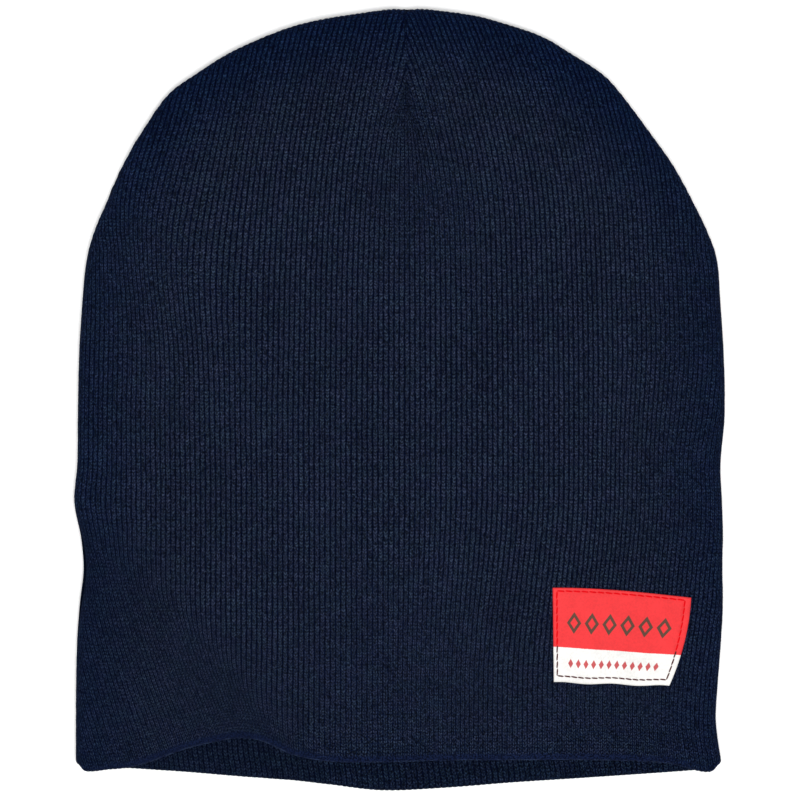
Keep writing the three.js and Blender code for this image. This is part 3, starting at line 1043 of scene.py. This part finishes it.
def knit_material(knit, lining=False):
    """Navy yarn: nearly black in the grooves and holes by painted shade, lighter on the ribs, with a blue
    sheen.

    The outer layer has a painted blue sheen where it turns in at the hem, painted highlights in strands
    along its lip, and painted shade, bluer, near the folds. The lining is darker by painted shade, and its
    ribs show less.
    """
    name = "navy rib knit, inside" if lining else "navy rib knit"
    if name in bpy.data.materials:
        return bpy.data.materials[name]
    material, nodes, shader = principled(name)
    uv, place = nodes.places()
    # The attribute "edge" holds how far the painted edge shade has set in.
    fullness, edge, calm = (nodes.add("ShaderNodeAttribute", attribute_name=each).outputs["Fac"]
                            for each in ("fullness", "edge", "calm"))
    if lining:
        fullness = nodes.times_add(fullness, LINING_RIBS["of_fullness"], LINING_RIBS["always"])
    stitches = nodes.add("ShaderNodeGroup", node_tree=stitch_group())
    # The grooves also widen with the painted edge shade, darkening the knit further towards the folds.
    narrowing = nodes.times(edge, edge)
    nodes.fill(stitches, {"Wale and course": uv, "Fullness": fullness, "Narrowing": narrowing})
    hue = nodes.ramp(nodes.noise(place, HUE["scale"]), *HUE["range"])
    crest = nodes.mix(hue, WARM, COOL)
    crest = nodes.tinted(crest, knit.crest_colour)
    # From the groove colour, painted shade, to the crest colour by the stitches' painted light and shade.
    colour = nodes.mix(stitches.outputs["Shade"], knit.groove_painted_shade, crest)
    if lining:
        # Painted shade over the whole lining.
        colour = nodes.tinted(colour, knit.lining_painted_shade)
    else:
        # A painted blue sheen where the hem turns in and a painted highlight in strands along its lip, both
        # fading towards the folds.
        _, course, _ = nodes.split(uv)
        strands = nodes.ramp(nodes.noise(place, STRANDS["scale"]), *STRANDS["range"])
        inner = nodes.times_add(edge, -HEM_FADE, 1.0)
        turned = nodes.times(nodes.ramp(course, *HEM_PAINTED_SHEEN["courses"], HEM_PAINTED_SHEEN["share"], 0.0), inner)
        lip = nodes.times(nodes.times(nodes.ramp(course, *LIP_HIGHLIGHT_COURSES, 1.0, 0.0), strands), inner)
        colour = nodes.mix(turned, colour, knit.hem_painted_sheen)
        colour = nodes.mix(lip, colour, knit.lip_painted_highlight)
        # Painted shade, darker and bluer, towards the folds and most at the crown's edge.
        colour = nodes.tinted(colour, nodes.mix(edge, (1.0, 1.0, 1.0, 1.0), knit.painted_edge_tint))
    blotch = nodes.noise(place, BLOTCH["scale"], BLOTCH["detail"], BLOTCH["roughness"])
    blotch = nodes.around(blotch, BLOTCH["amount"])
    grain = nodes.noise(place, GRAIN["scale"], 1.0)
    grain = nodes.ramp(grain, *GRAIN["range"], -GRAIN["amount"], GRAIN["amount"])
    heather = nodes.times_add(grain, nodes.times_add(calm, -GRAIN["calmed"], 1.0), 1.0)
    nodes.fill(shader, {
        "Base Color": nodes.scale(colour, nodes.times(blotch, heather)),
        "Roughness": 0.9,
        "Specular IOR Level": 0.02,
        "Sheen Weight": 0.016,
        "Sheen Roughness": 0.35,
        "Sheen Tint": (0.05, 0.25, 1.0, 1.0),
        "Normal": nodes.bump(stitches.outputs["Height"], strength=0.8, distance=0.2),
    })
    return material


def finish_piece(piece, node):
    """Says which body a piece rides on, and hides the node that it stands for."""
    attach(piece, BODY)
    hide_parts(node)


def knit_panels(knit, prefix, layer, spare, limits):
    """Pieces of one outer layer, side by side: each reaches from its own wale to where the next starts."""
    columns = wale_columns(spare)
    faces = layer["faces"]
    wale = columns[faces[:, 0] // (len(layer["points"]) // len(columns))]
    ends = [*limits.values(), np.inf][1:]
    for (which, low), high in zip(limits.items(), ends):
        layer["faces"] = faces[(wale >= low) & (wale < high)]
        piece = make_piece(f"{prefix}_{which}", material=knit_material(knit), **layer)
        finish_piece(piece, KNIT_NODE)


class BEANIE_OT_front_knit(bpy.types.Operator):
    """Builds the front's outer knit in four panels that meet in grooves"""

    bl_idname = "beanie.front_knit"
    bl_label = "Front knit"

    def execute(self, context):
        knit = context.scene.beanie_knit
        courses = np.arange(MOUTH, LAST_COURSE, knit.course / 2)
        layer = knit_layer(knit, courses, rear=False, inner=False)
        limits = {"left": -np.inf, "middle_left": -WALES / 2, "middle_right": 0, "right": WALES / 2}
        knit_panels(knit, "front_knit", layer, FRONT_SPARE, limits)
        return {"FINISHED"}


class BEANIE_OT_rear_knit(bpy.types.Operator):
    """Builds the outer knit of the back, which lies on the floor, in two panels"""

    bl_idname = "beanie.rear_knit"
    bl_label = "Rear knit"

    def execute(self, context):
        knit = context.scene.beanie_knit
        courses = np.arange(MOUTH, LAST_COURSE, knit.course)
        layer = knit_layer(knit, courses, rear=True, inner=False)
        knit_panels(knit, "rear_knit", layer, REAR_SPARE, {"left": -np.inf, "right": 0})
        return {"FINISHED"}


class BEANIE_OT_lining_knit(bpy.types.Operator):
    """Builds the layer of knit turned inside, front and rear"""

    bl_idname = "beanie.lining_knit"
    bl_label = "Lining knit"

    def execute(self, context):
        knit = context.scene.beanie_knit
        near = np.arange(MOUTH, MOUTH + LINING_NEAR, knit.course)
        skip = LINING_SKIP * knit.course
        deep = np.arange(near[-1] + skip, LAST_COURSE, skip)
        courses = np.concatenate([near, deep])
        for rear, name in ((False, "lining_knit_front"), (True, "lining_knit_rear")):
            layer = knit_layer(knit, courses, rear, inner=True)
            piece = make_piece(name, material=knit_material(knit, lining=True), **layer)
            finish_piece(piece, KNIT_NODE)
        return {"FINISHED"}


def label_plan(label, u, v):
    """The label seen from above: its corners mixed, two sides swelling out, and the lower edge waved."""
    top = LABEL_CORNERS[0, 0] + (LABEL_CORNERS[0, 1] - LABEL_CORNERS[0, 0]) * u[..., None]
    bottom = LABEL_CORNERS[1, 0] + (LABEL_CORNERS[1, 1] - LABEL_CORNERS[1, 0]) * u[..., None]
    plan = top + (bottom - top) * v[..., None]
    bow = label.bow * 4 * v * (1 - v) * u**3
    swell = label.swell * np.sin(math.pi * u**SWELL_SKEW) * (1 - v) ** 2
    turns = 2 * math.pi * LOWER_WAVE["across"] * u + LOWER_WAVE["start"]
    wave = LOWER_WAVE["height"] * np.sin(turns) * v**4
    return plan[..., 0] + bow, plan[..., 1] + swell + wave


def seam_distance(u, v):
    """Distance in millimetres to the label's sewn line, a rectangle of shares of its sides."""
    across = np.maximum(LABEL_SEAM["left"] - u, u - LABEL_SEAM["right"]) * LABEL_SIZE[0]
    along = np.maximum(LABEL_SEAM["top"] - v, v - LABEL_SEAM["bottom"]) * LABEL_SIZE[1]
    outside = np.hypot(np.maximum(across, 0), np.maximum(along, 0))
    return np.where((across > 0) | (along > 0), outside, -np.maximum(across, along))


def label_surface(label, u, v, under):
    """A place on the label's face or underside.

    The face stands a thickness over the underside, rounded off at the edges, sunk along the sewn line, with
    soft ripples between its stitches. Both follow the front's height, and the free corner curls up.
    """
    across, along = label_plan(label, u, v)
    curl = label.curl * smoothstep(u + v, *CURL_RANGE)
    height = front_height(across, along) + label.gap + curl
    if not under:
        edge = np.minimum(np.minimum(u, 1 - u) * LABEL_SIZE[0], np.minimum(v, 1 - v) * LABEL_SIZE[1])
        round_off = ROUNDED["drop"] * (1 - np.minimum(edge / ROUNDED["width"], 1)) ** 2
        sunk = DIP["depth"] * np.exp(-((seam_distance(u, v) / DIP["width"]) ** 2))
        ripple = RIPPLE["height"] * np.sin(2 * math.pi * RIPPLE["across"] * u)
        ripple = ripple * np.sin(2 * math.pi * RIPPLE["down"] * v + RIPPLE["start"])
        height = height + label.thickness * (1 - round_off) - sunk + ripple
    return np.stack([across, along, height], -1)


def label_slab(label):
    """The label as one closed slab: a face and an underside on the same grid, joined round their edge."""
    u, v = np.meshgrid(*(np.linspace(0, 1, steps) for steps in LABEL_STEPS), indexing="ij")
    points = np.concatenate([label_surface(label, u, v, under).reshape(-1, 3) for under in (False, True)])
    uv = np.tile(np.stack([u * LABEL_SIZE[0], v * LABEL_SIZE[1]], -1).reshape(-1, 2), (2, 1))
    index = np.arange(u.size).reshape(LABEL_STEPS)
    loop = np.concatenate([index[:-1, 0], index[-1, :-1], index[:0:-1, -1], index[0, :0:-1]])
    after = np.roll(loop, -1)
    face = grid_faces(LABEL_STEPS)
    under = face + u.size
    side = np.stack([loop, after, after + u.size, loop + u.size], -1)
    return points, np.concatenate([face[:, ::-1], under, side]), uv


def label_stitches(label):
    """The sewing thread: slightly slanted dashes at an even pitch along the sewn line's four sides.

    Each is a grain whose radius along its length is the root of one minus a fourth power, closed at both
    ends by one point.
    """
    corners = [(LABEL_SEAM[a], LABEL_SEAM[b])
               for a, b in (("left", "top"), ("right", "top"), ("right", "bottom"), ("left", "bottom"))]
    centres, halves = [], []
    for start, end in zip(corners, corners[1:] + corners[:1]):
        start, end = np.array(start), np.array(end)
        run = (end - start) * LABEL_SIZE
        length = np.linalg.norm(run)
        count = round(length / label.stitch_pitch)
        share = (np.arange(count) + 0.5)[:, None] / count
        centres.append(start + (end - start) * share)
        ahead = run / length * label.stitch_length / 2
        aside = label.stitch_slant * np.array([-ahead[1], ahead[0]])
        halves.append(np.repeat([(ahead + aside) / LABEL_SIZE], count, 0))
    centre, half = np.concatenate(centres), np.concatenate(halves)

    up = np.array([0, 0, 1.0])
    middle = label_surface(label, *centre.T, under=False) + label.thread_width * THREAD_LIFT * up
    ahead = label_surface(label, *(centre + half).T, under=False)
    behind = label_surface(label, *(centre - half).T, under=False)
    axis = (ahead - behind) / 2
    sideways = np.cross(axis, up)
    sideways /= np.linalg.norm(sideways, axis=1, keepdims=True)
    rings, sides = THREAD_RINGS, THREAD_SIDES
    t = np.linspace(-1, 1, rings + 2)[1:-1, None]
    turn = np.arange(sides) / sides * 2 * math.pi
    radius = label.thread_width / 2 * np.sqrt(1 - t**4)
    steps = (t + 0 * turn, radius * np.cos(turn), radius * np.sin(turn))
    along, out, raised = (step[None, ..., None] for step in steps)
    frame_axes = (part[:, None, None] for part in (axis, sideways, np.broadcast_to(up, axis.shape)))
    body = middle[:, None, None] + sum(a * b for a, b in zip(frame_axes, (along, out, raised)))
    tips = middle[:, None] + axis[:, None] * np.array([-1.0, 1.0])[None, :, None]
    points = np.concatenate([body.reshape(len(centre), -1, 3), tips], 1)

    index = np.arange(rings * sides).reshape(rings, sides)
    after = np.roll(index, -1, 1)
    walls = np.stack([index[:-1], index[1:], after[1:], after[:-1]], -1).reshape(-1, 4)
    none = np.full(sides, -1)
    start = np.stack([np.full(sides, rings * sides), index[0], after[0], none], -1)
    end = np.stack([np.full(sides, rings * sides + 1), after[-1], index[-1], none], -1)
    grain = np.concatenate([walls, start, end])[None]
    step = (np.arange(len(centre)) * points.shape[1])[:, None, None]
    faces = np.where(grain < 0, -1, grain + step).reshape(-1, 4)
    uv = np.repeat(centre * LABEL_SIZE, points.shape[1], 0)
    return points.reshape(-1, 3), faces, uv


def lozenge(nodes, across, along, pitch, size):
    """Distance from the middle of the nearest lozenge of a row, 1 at its outline."""
    cell = nodes.minus(nodes.math("FRACT", nodes.math("DIVIDE", across, pitch)), 0.5)
    wide = nodes.math("DIVIDE", nodes.math("ABSOLUTE", cell), size[0] / 2 / pitch)
    tall = nodes.math("DIVIDE", nodes.math("ABSOLUTE", along), size[1] / 2)
    return nodes.math("ADD", wide, tall)


def between(nodes, value, low, high):
    """1 where a value lies between two limits."""
    above = nodes.math("GREATER_THAN", value, low)
    return nodes.times(above, nodes.math("LESS_THAN", value, high))


def lozenge_row(nodes, across, along, row):
    """1 on the lozenges of a row, which are solid or hollow."""
    from_start = nodes.minus(across, row["start"])
    from_line = nodes.minus(along, row["line"])
    away = lozenge(nodes, from_start, from_line, row["pitch"], row["size"])
    inside = between(nodes, away, row["hollow"], 1.0)
    return nodes.times(inside, between(nodes, from_start, 0.0, row["count"] * row["pitch"]))


def label_material(label):
    """Woven label: red above, white below, with a row of plain lozenges on each, in a fine satin weave."""
    material, nodes, shader = principled("woven label")
    uv, place = nodes.places()
    across, along, _ = nodes.split(uv)
    warp, weft = (
        nodes.math("SINE", nodes.times(way, 2 * math.pi / WEAVE[name]))
        for way, name in ((across, "across"), (along, "down")))
    weave = nodes.times_add(nodes.times(warp, weft), 0.5, 0.5)
    frayed = nodes.times_add(nodes.noise(place, FRAY["scale"]), FRAY["amount"], along)
    drop = label.change_drop * LABEL_SIZE[1] / LABEL_SIZE[0]
    frayed = nodes.times_add(across, -drop, frayed)
    change = label.change * LABEL_SIZE[1]
    lower = nodes.ramp(frayed, *(change + step for step in FRAY["range"]))

    figures, dots = (lozenge_row(nodes, across, along, row) for row in LOZENGES)
    red_field = nodes.mix(figures, label.red, label.dark)
    white_field = nodes.mix(dots, label.white, label.dots)
    tone = nodes.around(nodes.noise(place, WIDE_TONE["scale"], WIDE_TONE["detail"]), WIDE_TONE["amount"])
    tone = nodes.times(tone, nodes.around(weave, WEAVE["tone"]))
    tone = nodes.times(tone, nodes.around(nodes.noise(place, FINE_TONE["scale"]), FINE_TONE["amount"]))
    raised = nodes.times_add(nodes.math("MAXIMUM", figures, dots), FIGURES_RAISED, weave)
    nodes.fill(shader, {
        "Base Color": nodes.scale(nodes.mix(lower, red_field, white_field), tone),
        "Roughness": 0.6,
        "Specular IOR Level": 0.15,
        "Normal": nodes.bump(raised, strength=0.5, distance=0.06),
    })
    return material


def thread_material(label):
    """Twisted sewing thread: dark red over the red field, and browner over the white."""
    material, nodes, shader = principled("sewing thread")
    uv, place = nodes.places()
    _, along, _ = nodes.split(uv)
    on_white = nodes.math("GREATER_THAN", along, label.change * LABEL_SIZE[1])
    colour = nodes.mix(on_white, label.thread, label.thread_low)
    tone = nodes.around(nodes.noise(place, THREAD_TONE["scale"]), THREAD_TONE["amount"])
    nodes.fill(shader, {
        "Base Color": nodes.scale(colour, tone),
        "Roughness": 0.8,
        "Specular IOR Level": 0.05,
    })
    return material


class BEANIE_OT_label(bpy.types.Operator):
    """Builds the woven label and the thread that sews it on"""

    bl_idname = "beanie.label"
    bl_label = "Label"

    def execute(self, context):
        label = context.scene.beanie_label
        thread = make_piece("label_thread", *label_stitches(label), thread_material(label))
        slab = make_piece("label_cloth", *label_slab(label), label_material(label))
        for piece in (slab, thread):
            finish_piece(piece, LABEL_NODE)
        return {"FINISHED"}


class BEANIE_OT_stage(bpy.types.Operator):
    """Builds the pale floor, the soft lights and the camera straight above"""

    bl_idname = "beanie.stage"
    bl_label = "Stage"

    def execute(self, context):
        stage = context.scene.beanie_stage
        material, nodes, shader = principled("pale floor")
        nodes.fill(shader, {"Base Color": stage.floor_colour, "Roughness": 0.9})
        mesh = bpy.data.meshes.new("floor")
        sides = ((-1, -1), (1, -1), (1, 1), (-1, 1))
        corners = [(x * FLOOR_REACH, y * FLOOR_REACH, 0) for x, y in sides]
        mesh.from_pydata(corners, [], [(0, 1, 2, 3)])
        mesh.materials.append(material)
        floor = bpy.data.objects.new("floor", mesh)
        context.scene.collection.objects.link(floor)

        world = bpy.data.worlds.new("studio")
        world.use_nodes = True
        background = world.node_tree.nodes["Background"]
        background.inputs["Color"].default_value = (1, 1, 1, 1)
        background.inputs["Strength"].default_value = stage.sky
        context.scene.world = world

        for light, power in zip(LIGHTS, (stage.key_power, stage.fill_power)):
            self.light(context, power=power, **light)

        camera = bpy.data.cameras.new("camera")
        camera.lens = stage.lens
        above = stage.view_width * stage.lens / camera.sensor_width
        eye = bpy.data.objects.new("camera", camera)
        eye.location = (EYE[0] * MM, EYE[1] * MM, above + FOLD_RADIUS * MM)
        context.scene.collection.objects.link(eye)
        context.scene.camera = eye
        context.scene.view_settings.view_transform = "Standard"
        return {"FINISHED"}

    @staticmethod
    def light(context, name, place, size, power):
        """A square soft light aimed at the middle of the cap."""
        lamp = bpy.data.lights.new(name, "AREA")
        lamp.size = size
        lamp.energy = power
        holder = bpy.data.objects.new(name, lamp)
        holder.location = place
        to_cap = -holder.location
        holder.rotation_euler = to_cap.to_track_quat("-Z", "Y").to_euler()
        context.scene.collection.objects.link(holder)


OPERATORS = (
    BEANIE_OT_stage, BEANIE_OT_front_knit, BEANIE_OT_rear_knit, BEANIE_OT_lining_knit, BEANIE_OT_label,
)


class BEANIE_PT_panel(bpy.types.Panel):
    """Lists the pieces of the beanie"""

    bl_idname = "BEANIE_PT_panel"
    bl_label = "Beanie"
    bl_space_type = "VIEW_3D"
    bl_region_type = "UI"
    bl_category = "Beanie"

    def draw(self, context):
        for operator in OPERATORS:
            self.layout.operator(operator.bl_idname, text=operator.bl_label)


SETTINGS = {"beanie_knit": KnitSettings, "beanie_label": LabelSettings, "beanie_stage": StageSettings}
CLASSES = (*SETTINGS.values(), *OPERATORS, BEANIE_PT_panel)


def register():
    for each in CLASSES:
        bpy.utils.register_class(each)
    for name, settings in SETTINGS.items():
        setattr(bpy.types.Scene, name, bpy.props.PointerProperty(type=settings))


def unregister():
    for name in SETTINGS:
        delattr(bpy.types.Scene, name)
    for each in reversed(CLASSES):
        bpy.utils.unregister_class(each)


def main():
    register()
    bpy.ops.beanie.stage()
    bpy.ops.beanie.front_knit()
    bpy.ops.beanie.rear_knit()
    bpy.ops.beanie.lining_knit()
    bpy.ops.beanie.label()


if __name__ == "__main__":
    main()
